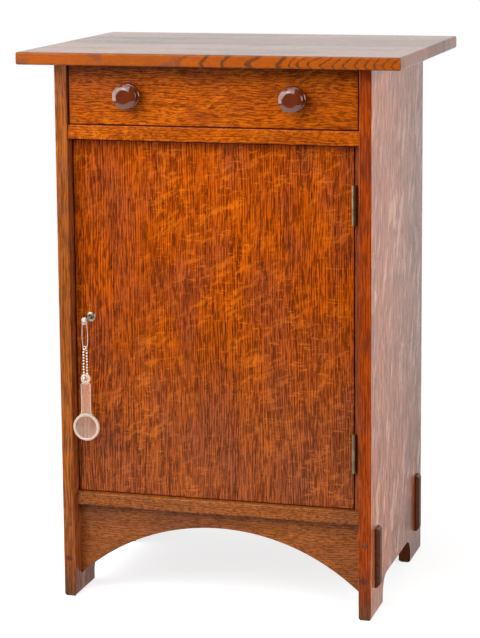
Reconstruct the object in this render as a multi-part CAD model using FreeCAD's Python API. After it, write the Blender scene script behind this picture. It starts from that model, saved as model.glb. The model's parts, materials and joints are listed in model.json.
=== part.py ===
import FreeCAD, Part
import math
import os

V = FreeCAD.Vector

# Millimetres. X runs to the right, Y to the back and Z up from the floor.
# The origin is on the floor under the middle of the top board.

# Overall
height = 736.6
top_width = 508.0
top_depth = 381.0
top_thick = 16.5
top_round = 2.5
top_front_overhang = 26.0
case_width = 423.0
case_depth = 331.0

# Sides, each with a cut-out between its two feet
side_thick = 16.5
side_round = 1.5
foot_depth = 74.5
foot_chamfer = 3.0
side_cut_height = 37.0
side_cut_radius = 24.0

# Arched aprons with tenons that come through the sides
apron_thick = 20.0
apron_setback = 24.0
arch_spring = 26.0
arch_apex = 102.6
tenon_lower_shoulder = 12.0
tenon_upper_shoulder = 7.0
tenon_reach = 6.0
tenon_chamfer = 3.2

# Pegs that lock the tenons, driven in from the sides' front and rear edges
peg_radius = 4.0
peg_length = 54.0
peg_spread = 48.0
peg_proud = 0.6
peg_clearance = 0.05

# Bottom board, housed in the sides
bottom_underside = 125.0
bottom_thick = 18.5
bottom_setback = 10.0
bottom_round = 3.0
bottom_housing = 6.0

# Rail and runners under the drawer
drawer_opening = 79.6
rail_thick = 19.0
rail_depth = 58.0
rail_setback = 3.0
rail_round = 1.5
rail_tenon_length = 8.0
rail_tenon_shoulder = 5.0
runner_width = 26.0

# Back boards, tongued together in rabbets of the sides
back_thick = 10.0
back_board_count = 3
back_rabbet = 8.0
tongue_length = 5.0
tongue_thick = 4.0

# Cleats under the top
top_cleat_size = 20.0
top_cleat_start = 46.0
cleat_screw_inset = 50.0
cleat_screw_radius = 2.0
cleat_screw_head_radius = 4.2
cleat_screw_into_top = 11.0

# Shelf on cleats
shelf_height = 372.0
shelf_thick = 15.0
shelf_setback = 62.0
shelf_side_gap = 0.3
shelf_cleat_size = 15.0

# Door, set back between the sides
door_thick = 19.0
door_setback = 18.0
door_side_gap = 1.5
door_bottom_gap = 1.0
door_top_gap = 2.2
door_round = 1.2
hinge_strip_width = 8.4
hinge_strip_depth = 26.0
stop_width = 10.0
stop_thick = 12.0
stop_gap = 0.3

# Butt hinges
hinge_length = 51.0
hinge_inset = 75.0
leaf_thick = 1.8
leaf_width = 15.0
knuckle_radius = 3.1
middle_knuckle = 23.0
knuckle_gap = 0.3
hinge_pin_radius = 1.25
hinge_pin_clearance = 0.05
hinge_pin_ahead = 3.4
pin_tip_radius = 2.3
pin_tip_height = 1.1
leaf_screw_radius = 1.3
leaf_screw_head_radius = 2.5
leaf_screw_head_depth = 1.5
leaf_screw_length = 8.0
leaf_screw_spread = 36.0

# Box lock in the back of the door
key_height = 383.0
lock_backset = 20.0
lock_width = 36.0
lock_height = 40.0
lock_depth = 12.0
lock_below_key = 14.0
lock_wall = 1.5
bolt_thick = 5.0
bolt_height = 11.0
bolt_above_key = 2.6
bolt_tail = 8.5
bolt_throw = 7.5
bolt_clearance = 0.3
bolt_notch_width = 5.4
bolt_notch_clearance = 0.5
bolt_nose_gap = 0.3
lock_screw_radius = 1.2
lock_screw_head_radius = 2.4
lock_screw_length = 5.0
lock_screw_inset = 4.5
strike_thick = 1.2
strike_width = 15.0
strike_border = 9.0
strike_spare = 1.5

# Key and keyhole ring
key_radius = 1.25
key_projection = 27.0
key_bit_reach = 5.5
key_bit_thick = 1.6
key_bit_width = 4.0
key_bit_angle = 45.0
key_tip_radius = 2.1
key_tip_length = 1.6
key_end_clearance = 0.05
keyhole_radius = 2.8
keyhole_slot_width = 2.4
keyhole_slot_reach = 6.0
ring_radius = 7.0
ring_height = 1.8
ring_spigot_radius = 4.4
ring_spigot_length = 4.0
ring_clearance = 0.05

# Safety pin, ball chain and magnifier that hang on the key
pin_cap_width = 8.0
pin_cap_above = 3.4
pin_cap_below = 8.0
pin_cap_thick = 3.0
pin_cap_ease = 2.0
pin_hole_clearance = 0.35
pin_wire_radius = 0.6
pin_leg_spread = 2.6
pin_leg_bow = 1.3
pin_coil_drop = 38.0
bead_radius = 1.3
bead_pitch = 3.9
link_radius = 0.4
chain_strand_gap = 6.5
chain_turn = -67.0
chain_drop = 41.0
magnifier_thick = 3.0
eyelet_radius = 6.8
eyelet_hole_radius = 2.6
eyelet_thick = 2.0
handle_width = 13.4
handle_border = 1.6
handle_recess = 0.6
lens_drop = 66.0
lens_radius = 14.0
lens_edge_thick = 2.0
lens_bulge = 1.4
rim_width = 4.4
rim_thick = 5.0

# Drawer
drawer_setback = 5.0
drawer_side_gap = 2.0
drawer_bottom_gap = 1.2
drawer_top_gap = 1.6
drawer_run_gap = 0.3
drawer_length = 300.0
drawer_front_thick = 19.0
drawer_front_round = 1.2
drawer_side_thick = 10.0
drawer_side_height = 54.0
drawer_back_thick = 10.0
drawer_back_inset = 12.0
drawer_back_lower = 4.0
drawer_bottom_thick = 5.0
drawer_groove_depth = 4.0
drawer_groove_height = 7.0
tail_count = 3
tail_length = 12.0
tail_end_width = 12.6
tail_root_width = 9.2

# Knobs
knob_radius = 17.0
knob_projection = 24.5
knob_spread = 221.0
knob_base_radius = 8.5
knob_base_height = 1.5
knob_neck_radius = 6.4
knob_head_thick = 12.5
knob_rim_thick = 4.5
knob_shoulder_radius = 15.6
knob_dish_radius = 13.0
knob_dish_depth = 1.4
knob_screw_radius = 2.0
knob_screw_head_radius = 4.5
knob_screw_head_height = 2.2
knob_screw_into_knob = 13.0
knob_screw_clearance = 0.05

# Flat facets round small turned pieces
screw_facets = 8
wire_facets = 6
bead_facets = 6
peg_facets = 12
ring_facets = 16
knob_facets = 24

# Places worked out from the sizes above
half_inside = case_width / 2 - side_thick
front = -top_depth / 2 + top_front_overhang
rear = front + case_depth
side_top = height - top_thick
rail_top = side_top - drawer_opening
rail_bottom = rail_top - rail_thick
floor_top = bottom_underside + bottom_thick
back_inner = rear - back_thick
tenon_bottom = arch_spring + tenon_lower_shoulder
tenon_top = bottom_underside - tenon_upper_shoulder
tenon_middle = (tenon_bottom + tenon_top) / 2

door_face = front + door_setback
door_back = door_face + door_thick
door_left = -half_inside + door_side_gap
strip_left = half_inside - hinge_strip_width
door_right = strip_left - door_side_gap
door_bottom = floor_top + door_bottom_gap
door_top = rail_bottom - door_top_gap
hinge_x = (door_right + strip_left) / 2
hinge_y = door_face - hinge_pin_ahead
hinge_heights = {"upper": door_top - hinge_inset, "lower": door_bottom + hinge_inset}

key_x = door_left + lock_backset
lock_face = door_back - lock_depth
cover_face = door_back - lock_wall
bolt_middle = (lock_face + lock_wall + cover_face) / 2
bolt_bottom = key_height + bolt_above_key
bolt_top = bolt_bottom + bolt_height
notch_x = key_x + bolt_throw / 2
bolt_nose = door_left + bolt_nose_gap

key_tip = door_face - key_projection
fob_y = key_tip + key_tip_length + pin_hole_clearance + pin_cap_thick / 2
coil_z = key_height - pin_coil_drop
eyelet_z = coil_z - chain_drop
lens_z = eyelet_z - lens_drop

drawer_face = front + drawer_setback
drawer_inner_face = drawer_face + drawer_front_thick
drawer_half = half_inside - drawer_side_gap
drawer_end = drawer_face + drawer_length
drawer_side_bottom = rail_top + drawer_run_gap
drawer_side_top = drawer_side_bottom + drawer_side_height
drawer_floor = drawer_side_bottom + drawer_groove_height
drawer_front_bottom = rail_top + drawer_bottom_gap
drawer_front_top = side_top - drawer_top_gap
knob_z = (drawer_front_bottom + drawer_front_top) / 2

TOUCH = 1e-4
BACKWARD = V(0, 1, 0)
FORWARD = V(0, -1, 0)
UPWARD = V(0, 0, 1)


def block(x0, x1, y0, y1, z0, z1):
    """A board between two opposite corners, given in any order."""
    corner = V(min(x0, x1), min(y0, y1), min(z0, z1))
    return Part.makeBox(abs(x1 - x0), abs(y1 - y0), abs(z1 - z0), corner)


def rod(start, direction, radius, length):
    return Part.makeCylinder(radius, length, start, direction)


def run(points):
    """Straight edges through the points."""
    return [Part.makeLine(a, b) for a, b in zip(points, points[1:])]


def bend(start, middle, end):
    return Part.Arc(start, middle, end).toShape()


def slab(edges, thrust):
    """A closed outline pushed along a vector."""
    return Part.Face(Part.Wire(edges)).extrude(thrust)


def cap_rise(radius, bulge, distance):
    """Height of a spherical cap at a distance from its axis, over the plane of its rim."""
    sphere = (radius ** 2 + bulge ** 2) / (2 * bulge)
    return math.sqrt(sphere ** 2 - distance ** 2) - sphere + bulge


def rounded(solid, radius, wanted):
    """The solid with the edges that the test picks rounded over."""
    return solid.makeFillet(radius, [edge for edge in solid.Edges if wanted(edge.BoundBox)])


def ring_points(place, axis, radius, sides):
    """Corners of a regular outline square to an axis, at a radius from it."""
    across = axis.cross(UPWARD if abs(axis.z) < max(abs(axis.x), abs(axis.y)) else FORWARD)
    across = across / across.Length
    beside = axis.cross(across) / axis.Length
    angles = [2 * math.pi * (index + 0.5) / sides for index in range(sides)]
    return [place + radius * math.cos(angle) * across + radius * math.sin(angle) * beside for angle in angles]


def skinned(rings):
    """A solid with flat facets between rings of corners, closed at both ends."""
    faces = [flat(rings[0]), flat(rings[-1])]
    for near, far in zip(rings, rings[1:]):
        for index in range(len(near)):
            faces.append(flat([near[index - 1], near[index], far[index], far[index - 1]]))
    return Part.Solid(Part.makeShell(faces))


def flat(corners):
    return Part.Face(Part.makePolygon(corners + corners[:1]))


def faceted(start, axis, stations, sides):
    """A bar with flat facets: each station is a distance along the axis and a radius there."""
    unit = axis / axis.Length
    return skinned([ring_points(start + along * unit, unit, radius, sides) for along, radius in stations])


def prism(start, axis, radius, length, sides):
    """A straight bar with flat facets."""
    return faceted(start, axis, [(0, radius), (length, radius)], sides)


def countersunk(head_at, direction, shank, head, sink, length):
    """A wood screw with a tapered head whose flat top is at head_at."""
    return faceted(head_at, direction, [(0, head), (sink, shank), (length, shank)], screw_facets)


# Case


def top_board():
    board = block(-top_width / 2, top_width / 2, -top_depth / 2, top_depth / 2, side_top, height)
    return rounded(board, top_round, lambda b: b.ZLength < TOUCH)


def side_blank(sign):
    """The side's board: two feet below a cut-out with rounded corners."""
    x = sign * half_inside
    heel = front + foot_depth
    toe = rear - foot_depth
    shoulder = side_cut_height - side_cut_radius
    ease = side_cut_radius * (1 - math.sqrt(0.5))
    bend_front = [V(x, heel, shoulder), V(x, heel + ease, side_cut_height - ease),
                  V(x, heel + side_cut_radius, side_cut_height)]
    bend_rear = [V(x, toe - side_cut_radius, side_cut_height), V(x, toe - ease, side_cut_height - ease),
                 V(x, toe, shoulder)]
    edges = run([V(x, front, side_top), V(x, front, 0), V(x, heel, 0), bend_front[0]])
    edges.append(bend(*bend_front))
    edges += run([bend_front[2], bend_rear[0]])
    edges.append(bend(*bend_rear))
    edges += run([bend_rear[2], V(x, toe, 0), V(x, rear, 0), V(x, rear, side_top), V(x, front, side_top)])
    board = slab(edges, V(sign * side_thick, 0, 0))
    board = rounded(board, side_round, lambda b: b.YMax < front + TOUCH and b.ZLength > side_cut_height)
    return board.makeChamfer(foot_chamfer, [edge for edge in board.Edges if edge.BoundBox.ZMax < TOUCH])


def apron_range(at_front):
    """Front and rear faces of an apron."""
    if at_front:
        return front + apron_setback, front + apron_setback + apron_thick
    return rear - apron_setback - apron_thick, rear - apron_setback


def peg_places():
    """Start point and direction of each peg, as it lies from its head inwards."""
    x = half_inside + side_thick / 2
    return [(V(sign * x, edge, tenon_middle + rise), direction)
            for sign in (-1, 1)
            for edge, direction in ((front - peg_proud, BACKWARD), (rear + peg_proud, FORWARD))
            for rise in (-peg_spread / 2, peg_spread / 2)]


def peg_bores():
    bores = [prism(start, way, peg_radius + peg_clearance, peg_length + peg_clearance, peg_facets)
             for start, way in peg_places()]
    return Part.makeCompound(bores)


def tenon_pegs():
    """The pegs, each with a chamfered head that stands a little proud."""
    stations = [(0, peg_radius - peg_proud), (peg_proud, peg_radius), (peg_length, peg_radius)]
    return Part.makeCompound([faceted(start, way, stations, peg_facets) for start, way in peg_places()])


def side(sign):
    """A side with its mortises, housings, rabbet and peg holes."""
    inner = sign * half_inside
    outer = sign * (half_inside + side_thick)
    mortises = [block(inner, outer, *apron_range(at_front), tenon_bottom, tenon_top)
                for at_front in (True, False)]
    housing = block(inner, inner + sign * bottom_housing, front + bottom_setback + bottom_round, back_inner,
                    bottom_underside, floor_top)
    rail_mortise = rail_tenon(sign)
    rabbet = block(inner, inner + sign * back_rabbet, back_inner, rear, bottom_underside, side_top)
    board = side_blank(sign).cut(mortises + [housing, rail_mortise, rabbet, peg_bores()])
    if sign < 0:
        return board.cut([strike_blank(), bolt_pocket()])
    return board


def strike_blank():
    """The strike plate's outline, flush with the left side's inner face."""
    return block(-half_inside, -half_inside - strike_thick,
                 bolt_middle - strike_width / 2, bolt_middle + strike_width / 2,
                 bolt_bottom - strike_border, bolt_top + strike_border)


def bolt_pocket():
    """Room in the left side for the thrown bolt."""
    room = bolt_thick / 2 + bolt_clearance
    reach = bolt_nose - bolt_throw - strike_spare
    return block(-half_inside, reach, bolt_middle - room, bolt_middle + room,
                 bolt_bottom - bolt_clearance, bolt_top + bolt_clearance)


def strike_plate():
    return strike_blank().cut(bolt_pocket())


def tenon(sign, y0, y1):
    """A tenon that passes through the side, with its showing end chamfered."""
    end = sign * (half_inside + side_thick + tenon_reach)
    bar = block(sign * half_inside, end, y0, y1, tenon_bottom, tenon_top)
    rim = [edge for edge in bar.Edges
           if abs(edge.BoundBox.XMin - end) < TOUCH and abs(edge.BoundBox.XMax - end) < TOUCH]
    return bar.makeChamfer(tenon_chamfer, rim)


def apron(at_front):
    """An apron with an arched lower edge, tenoned through both sides."""
    y0, y1 = apron_range(at_front)
    left = V(-half_inside, y0, arch_spring)
    right = V(half_inside, y0, arch_spring)
    edges = run([right, V(half_inside, y0, bottom_underside), V(-half_inside, y0, bottom_underside), left])
    edges.append(bend(left, V(0, y0, arch_apex), right))
    board = slab(edges, V(0, y1 - y0, 0))
    board = board.fuse([tenon(-1, y0, y1), tenon(1, y0, y1)]).removeSplitter()
    return board.cut(peg_bores())


def bottom_board():
    """The cabinet's floor: its front edge shows below the door and its ends are housed in the sides."""
    y0 = front + bottom_setback
    board = block(-half_inside, half_inside, y0, back_inner, bottom_underside, floor_top)
    board = rounded(board, bottom_round, lambda b: b.YMax < y0 + TOUCH and b.XLength > half_inside)
    ends = [block(sign * half_inside, sign * (half_inside + bottom_housing), y0 + bottom_round, back_inner,
                  bottom_underside, floor_top) for sign in (-1, 1)]
    return board.fuse(ends).removeSplitter()


def rail_tenon(sign):
    y0 = front + rail_setback
    return block(sign * half_inside, sign * (half_inside + rail_tenon_length),
                 y0 + rail_tenon_shoulder, y0 + rail_depth - rail_tenon_shoulder,
                 rail_bottom + rail_tenon_shoulder, rail_top - rail_tenon_shoulder)


def drawer_rail():
    y0 = front + rail_setback
    board = block(-half_inside, half_inside, y0, y0 + rail_depth, rail_bottom, rail_top)
    board = rounded(board, rail_round, lambda b: b.YMax < y0 + TOUCH and b.XLength > half_inside)
    return board.fuse([rail_tenon(-1), rail_tenon(1)]).removeSplitter()


def drawer_runner(sign):
    inner = sign * half_inside
    return block(inner, inner - sign * runner_width, front + rail_setback + rail_depth, back_inner,
                 rail_bottom, rail_top)


def cleat_screw_places(sign):
    x = sign * (half_inside - top_cleat_size / 2)
    z = side_top - top_cleat_size
    ends = (front + top_cleat_start + cleat_screw_inset, back_inner - cleat_screw_inset)
    return [V(x, y, z) for y in ends]


def cleat_screw(place, spare):
    """One screw through a cleat into the top, or its hole when spare room is given."""
    sink = cleat_screw_head_radius - cleat_screw_radius
    return countersunk(place, UPWARD, cleat_screw_radius + spare, cleat_screw_head_radius + spare, sink,
                       top_cleat_size + cleat_screw_into_top + spare)


def cleat_screws():
    return Part.makeCompound([cleat_screw(place, 0)
                              for sign in (-1, 1) for place in cleat_screw_places(sign)])


def cleat_screw_holes():
    return [cleat_screw(place, peg_clearance) for sign in (-1, 1) for place in cleat_screw_places(sign)]


def top_cleat(sign):
    inner = sign * half_inside
    bar = block(inner, inner - sign * top_cleat_size, front + top_cleat_start, back_inner,
                side_top - top_cleat_size, side_top)
    return bar.cut(cleat_screw_holes())


def back_board(index):
    """One upright back board, with a groove on its left edge and a tongue on its right."""
    span = 2 * (half_inside + back_rabbet) / back_board_count
    x0 = -half_inside - back_rabbet + index * span
    x1 = x0 + span
    middle = (back_inner + rear) / 2
    tongue_y = (middle - tongue_thick / 2, middle + tongue_thick / 2)
    board = block(x0, x1, back_inner, rear, bottom_underside, side_top)
    if index > 0:
        board = board.cut(block(x0, x0 + tongue_length, *tongue_y, bottom_underside, side_top))
    if index < back_board_count - 1:
        board = board.fuse(block(x1, x1 + tongue_length, *tongue_y, bottom_underside, side_top))
    return board.removeSplitter()


def shelf():
    reach = half_inside - shelf_side_gap
    board = block(-reach, reach, front + shelf_setback, back_inner, shelf_height, shelf_height + shelf_thick)
    return rounded(board, rail_round, lambda b: b.YMax < front + shelf_setback + TOUCH and b.XLength > reach)


def shelf_cleat(sign):
    inner = sign * half_inside
    return block(inner, inner - sign * shelf_cleat_size, front + shelf_setback, back_inner,
                 shelf_height - shelf_cleat_size, shelf_height)


def hinge_strip():
    """The upright strip that fills the gap beside the door and carries the hinges."""
    strip = block(strip_left, half_inside, door_face, door_face + hinge_strip_depth, floor_top, rail_bottom)
    return strip.cut([leaf_plate(1, z) for z in hinge_heights.values()] + leaf_screw_holes(1))


def door_stop():
    y0 = door_back + stop_gap
    return block(-half_inside, -half_inside + stop_width, y0, y0 + stop_thick, floor_top, rail_bottom)


# Hinges: the side is +1 for the leaf on the case and -1 for the leaf on the door


def leaf_range(side_of_gap):
    """X range of a leaf, let in flush with the wood on its side of the gap."""
    edge = strip_left if side_of_gap > 0 else door_right
    return edge, edge + side_of_gap * leaf_thick


def leaf_plate(side_of_gap, z):
    return block(*leaf_range(side_of_gap), door_face, door_face + leaf_width,
                 z - hinge_length / 2, z + hinge_length / 2)


def knuckle_spans(side_of_gap, z):
    """Height ranges of a leaf's knuckles: two outer ones on the case, the middle one on the door."""
    if side_of_gap < 0:
        return [(z - middle_knuckle / 2, z + middle_knuckle / 2)]
    inner = middle_knuckle / 2 + knuckle_gap
    return [(z - hinge_length / 2, z - inner), (z + inner, z + hinge_length / 2)]


def leaf_screw_places(side_of_gap, z):
    x = leaf_range(side_of_gap)[0]
    y = door_face + leaf_width / 2
    return [V(x, y, z + rise) for rise in (-leaf_screw_spread / 2, 0, leaf_screw_spread / 2)]


def leaf_screw(side_of_gap, place, spare):
    """One hinge screw, or its hole when spare room is given."""
    return countersunk(place, V(side_of_gap, 0, 0), leaf_screw_radius + spare, leaf_screw_head_radius + spare,
                       leaf_screw_head_depth, leaf_screw_length + spare)


def leaf_screw_holes(side_of_gap):
    return [leaf_screw(side_of_gap, place, peg_clearance)
            for z in hinge_heights.values() for place in leaf_screw_places(side_of_gap, z)]


def hinge_screws(side_of_gap):
    return Part.makeCompound([leaf_screw(side_of_gap, place, 0)
                              for z in hinge_heights.values()
                              for place in leaf_screw_places(side_of_gap, z)])


def hinge_leaf(side_of_gap, z):
    """A leaf with its rolled knuckles, bored for the pin."""
    leaf = leaf_plate(side_of_gap, z)
    for low, high in knuckle_spans(side_of_gap, z):
        web = block(*leaf_range(side_of_gap), hinge_y, door_face, low, high)
        roll = prism(V(hinge_x, hinge_y, low), UPWARD, knuckle_radius, high - low, ring_facets)
        leaf = leaf.fuse([web, roll])
    bore = rod(V(hinge_x, hinge_y, z - hinge_length), UPWARD, hinge_pin_radius + hinge_pin_clearance,
               2 * hinge_length)
    return leaf.removeSplitter().cut([bore] + leaf_screw_holes(side_of_gap))


def hinge_pin(z):
    """The pin with a tapered tip at each end."""
    low = V(hinge_x, hinge_y, z - hinge_length / 2)
    high = V(hinge_x, hinge_y, z + hinge_length / 2)
    taper = [(0, pin_tip_radius), (pin_tip_height, hinge_pin_radius)]
    tips = [faceted(end, way, taper, peg_facets) for end, way in ((low, -UPWARD), (high, UPWARD))]
    return rod(low, UPWARD, hinge_pin_radius, hinge_length).fuse(tips).removeSplitter()


# Door and lock


def keyhole(y0, y1):
    """The keyhole's shape between two depths: a round hole with a slot below it."""
    hole = prism(V(key_x, y0, key_height), BACKWARD, keyhole_radius, y1 - y0, ring_facets)
    slot = block(key_x - keyhole_slot_width / 2, key_x + keyhole_slot_width / 2, y0, y1,
                 key_height - keyhole_slot_reach, key_height)
    return hole.fuse(slot)


def lock_block():
    """The lock's outline in the door, open to the door's left edge and its back."""
    z0 = key_height - lock_below_key
    return block(door_left, door_left + lock_width, lock_face, door_back, z0, z0 + lock_height)


def lock_inside():
    z0 = key_height - lock_below_key
    return block(door_left + lock_wall, door_left + lock_width - lock_wall, lock_face + lock_wall, cover_face,
                 z0 + lock_wall, z0 + lock_height - lock_wall)


def door_panel():
    board = block(door_left, door_right, door_face, door_back, door_bottom, door_top)
    board = rounded(board, door_round, lambda b: b.YMax < door_face + TOUCH)
    ring_hole = prism(V(key_x, door_face, key_height), BACKWARD, ring_spigot_radius + ring_clearance,
                      ring_spigot_length + ring_clearance, ring_facets)
    hinge_cuts = [leaf_plate(-1, z) for z in hinge_heights.values()] + leaf_screw_holes(-1)
    return board.cut(hinge_cuts + [lock_block(), keyhole(door_face, lock_face), ring_hole])


def bolt_blank(spare):
    """The bolt's bar at rest, widened by spare room where it passes the lock's edge."""
    return block(bolt_nose - spare, notch_x + bolt_tail, bolt_middle - bolt_thick / 2 - spare,
                 bolt_middle + bolt_thick / 2 + spare, bolt_bottom - spare, bolt_top + spare)


def lock_case():
    """An open box let into the door, with a slot for the bolt and a keyhole."""
    tray = lock_block().cut(block(door_left, door_left + lock_width, cover_face, door_back,
                                  key_height - lock_below_key, key_height - lock_below_key + lock_height))
    tray = tray.cut(lock_inside()).fuse(lock_posts()).removeSplitter()
    openings = [bolt_blank(bolt_clearance), keyhole(lock_face, lock_face + lock_wall)]
    return tray.cut(openings + lock_screw_holes())


def lock_screw_places():
    """Two opposite corners of the lock, clear of the bolt."""
    z0 = key_height - lock_below_key
    return [V(door_left + lock_width - lock_screw_inset, door_back, z0 + lock_screw_inset),
            V(door_left + lock_width - lock_screw_inset, door_back, z0 + lock_height - lock_screw_inset)]


def lock_posts():
    """Posts in the case that take the cover's screws."""
    return [prism(V(place.x, lock_face, place.z), BACKWARD, lock_screw_head_radius, cover_face - lock_face,
                  screw_facets) for place in lock_screw_places()]


def lock_screw(place, spare):
    sink = lock_screw_head_radius - lock_screw_radius
    return countersunk(place, FORWARD, lock_screw_radius + spare, lock_screw_head_radius + spare, sink,
                       lock_screw_length + spare)


def lock_screws():
    return Part.makeCompound([lock_screw(place, 0) for place in lock_screw_places()])


def lock_screw_holes():
    return [lock_screw(place, peg_clearance) for place in lock_screw_places()]


def lock_cover():
    z0 = key_height - lock_below_key
    plate = block(door_left, door_left + lock_width, cover_face, door_back, z0, z0 + lock_height)
    pivot = rod(V(key_x, cover_face, key_height), BACKWARD, key_radius + key_end_clearance, lock_wall)
    return plate.cut([pivot] + lock_screw_holes())


def lock_bolt():
    """The bolt, drawn back into the lock, with a notch that the key's bit moves."""
    notch_top = key_height + key_bit_reach + bolt_notch_clearance
    notch = block(notch_x - bolt_notch_width / 2, notch_x + bolt_notch_width / 2,
                  bolt_middle - bolt_thick, bolt_middle + bolt_thick, bolt_bottom - bolt_thick, notch_top)
    return bolt_blank(0).cut(notch)


def key():
    """A slim pin key: shank, bit inside the lock and a small upset tip outside."""
    shank = rod(V(key_x, key_tip, key_height), BACKWARD, key_radius, door_back - key_tip)
    ease = key_tip_length / 4
    stations = [(0, key_tip_radius - ease), (ease, key_tip_radius), (key_tip_length - ease, key_tip_radius),
                (key_tip_length, key_tip_radius - ease)]
    tip = faceted(V(key_x, key_tip, key_height), BACKWARD, stations, peg_facets)
    bit = block(key_x - key_bit_thick / 2, key_x + key_bit_thick / 2, bolt_middle - key_bit_width / 2,
                bolt_middle + key_bit_width / 2, key_height, key_height + key_bit_reach)
    bit.rotate(V(key_x, bolt_middle, key_height), BACKWARD, key_bit_angle)
    return shank.fuse([tip, bit]).removeSplitter()


def keyhole_ring():
    """A bevelled ring round the keyhole, with a short spigot in the door."""
    centre = V(key_x, door_face, key_height)
    bevel = ring_height / 2
    stations = [(0, ring_radius), (bevel, ring_radius), (ring_height, ring_radius - bevel)]
    crown = faceted(centre, FORWARD, stations, knob_facets)
    spigot = prism(centre, BACKWARD, ring_spigot_radius, ring_spigot_length, ring_facets)
    ring = crown.fuse(spigot).removeSplitter()
    return ring.cut(keyhole(door_face - ring_height, door_face + ring_spigot_length))


# What hangs on the key


def safety_pin():
    """A safety pin: a cap that hangs on the key, two legs and a coil at the bottom."""
    cap = block(key_x - pin_cap_width / 2, key_x + pin_cap_width / 2, fob_y - pin_cap_thick / 2,
                fob_y + pin_cap_thick / 2, key_height - pin_cap_below, key_height + pin_cap_above)
    cap = cap.makeChamfer(pin_cap_ease, [edge for edge in cap.Edges
                                         if edge.BoundBox.YLength > pin_cap_thick / 2
                                         and edge.BoundBox.ZMin > key_height])
    eye = prism(V(key_x, fob_y - pin_cap_thick, key_height), BACKWARD, key_radius + pin_hole_clearance,
                2 * pin_cap_thick, peg_facets)
    return cap.fuse([pin_coil()] + [pin_leg(sign) for sign in (-1, 1)]).removeSplitter().cut(eye)


def pin_coil():
    """The coil at the pin's bottom, as one ring."""
    start = V(key_x, fob_y - pin_wire_radius, coil_z)
    turn, hole = [rod(start, BACKWARD, radius, 2 * pin_wire_radius)
                  for radius in (pin_leg_spread + pin_wire_radius, pin_leg_spread - pin_wire_radius)]
    return turn.cut(hole)


def pin_leg(sign):
    """A wire leg that bows outwards a little between the cap and the coil."""
    x = key_x + sign * pin_leg_spread
    top = key_height - pin_cap_below / 2
    third = (top - coil_z) / 3
    bows = [(top, 0), (top - third, pin_leg_bow), (coil_z + third, pin_leg_bow), (coil_z, 0)]
    return skinned([ring_points(V(x + sign * bow, fob_y, z), UPWARD, pin_wire_radius, wire_facets)
                    for z, bow in bows])


def chain_point(distance):
    """A point at a distance along the chain's loop, which starts down one strand at its top."""
    radius = chain_strand_gap / 2
    straight = chain_drop - 2 * radius
    half = straight + math.pi * radius
    distance = distance % (2 * half)
    way = 1 if distance < half else -1
    along = distance % half
    if along < straight:
        across, drop = radius, radius + along
    else:
        angle = (along - straight) / radius
        across, drop = radius * math.cos(angle), radius + straight + radius * math.sin(angle)
    if way < 0:
        across, drop = -across, chain_drop - drop
    turn = math.radians(chain_turn)
    return V(key_x + across * math.cos(turn), fob_y - across * math.sin(turn), coil_z - drop)


def ball_chain():
    """A closed loop of beads on short links, through the pin's coil and the magnifier's eyelet."""
    radius = chain_strand_gap / 2
    loop = 2 * (chain_drop - 2 * radius) + 2 * math.pi * radius
    count = round(loop / bead_pitch)
    beads = [chain_point(index * loop / count) for index in range(count)]
    pieces = []
    for start, end in zip(beads, beads[1:] + beads[:1]):
        step = end - start
        pieces.append(bead(start, step))
        pieces.append(prism(start, step, link_radius, step.Length, wire_facets))
    return pieces[0].fuse(pieces[1:]).removeSplitter()


def bead(place, direction):
    """A ball with few facets: a wide band and a taper on either side of it."""
    near = bead_radius * math.sin(math.pi / 8)
    far = bead_radius * math.cos(math.pi / 8)
    return faceted(place, direction, [(-far, near), (-near, far), (near, far), (far, near)], bead_facets)


def magnifier():
    """A moulded pocket magnifier: eyelet, flat handle with a sunk panel, and a lens in a thick rim."""
    eyelet = prism(V(key_x, fob_y - eyelet_thick / 2, eyelet_z), BACKWARD, eyelet_radius, eyelet_thick,
                   ring_facets)
    hole = rod(V(key_x, fob_y - eyelet_thick, eyelet_z), BACKWARD, eyelet_hole_radius, 2 * eyelet_thick)
    handle_top = eyelet_z - eyelet_hole_radius
    handle_end = lens_z + lens_radius + rim_width / 2
    shoulder = eyelet_z - eyelet_radius
    handle = block(key_x - handle_width / 2, key_x + handle_width / 2, fob_y - magnifier_thick / 2,
                   fob_y + magnifier_thick / 2, handle_end, shoulder)
    neck = block(key_x - handle_width / 2 + handle_border, key_x + handle_width / 2 - handle_border,
                 fob_y - eyelet_thick / 2, fob_y + eyelet_thick / 2, shoulder, handle_top)
    panels = [block(key_x - handle_width / 2 + handle_border, key_x + handle_width / 2 - handle_border,
                    fob_y + side_of * (magnifier_thick / 2 - handle_recess),
                    fob_y + side_of * magnifier_thick,
                    lens_z + lens_radius + rim_width + handle_border, shoulder - handle_border)
              for side_of in (-1, 1)]
    body = eyelet.fuse([handle, neck, lens_rim()]).cut([hole, lens_bore()] + panels)
    return body.fuse(lens()).removeSplitter()


def lens_rim():
    bevel = rim_thick / 4
    outer = lens_radius + rim_width
    stations = [(-rim_thick / 2, outer - bevel), (bevel - rim_thick / 2, outer),
                (rim_thick / 2 - bevel, outer), (rim_thick / 2, outer - bevel)]
    return faceted(V(key_x, fob_y, lens_z), BACKWARD, stations, knob_facets)


def lens_bore():
    return prism(V(key_x, fob_y - rim_thick, lens_z), BACKWARD, lens_radius, 2 * rim_thick, knob_facets)


def lens():
    """A lens that bulges on both faces."""
    edge = lens_edge_thick / 2
    bands = [(edge + cap_rise(lens_radius, lens_bulge, lens_radius * part), lens_radius * part)
             for part in (1, 2 / 3, 1 / 3)]
    stations = [(-rise, radius) for rise, radius in reversed(bands)] + bands
    return faceted(V(key_x, fob_y, lens_z), BACKWARD, stations, knob_facets)


# Drawer


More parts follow.
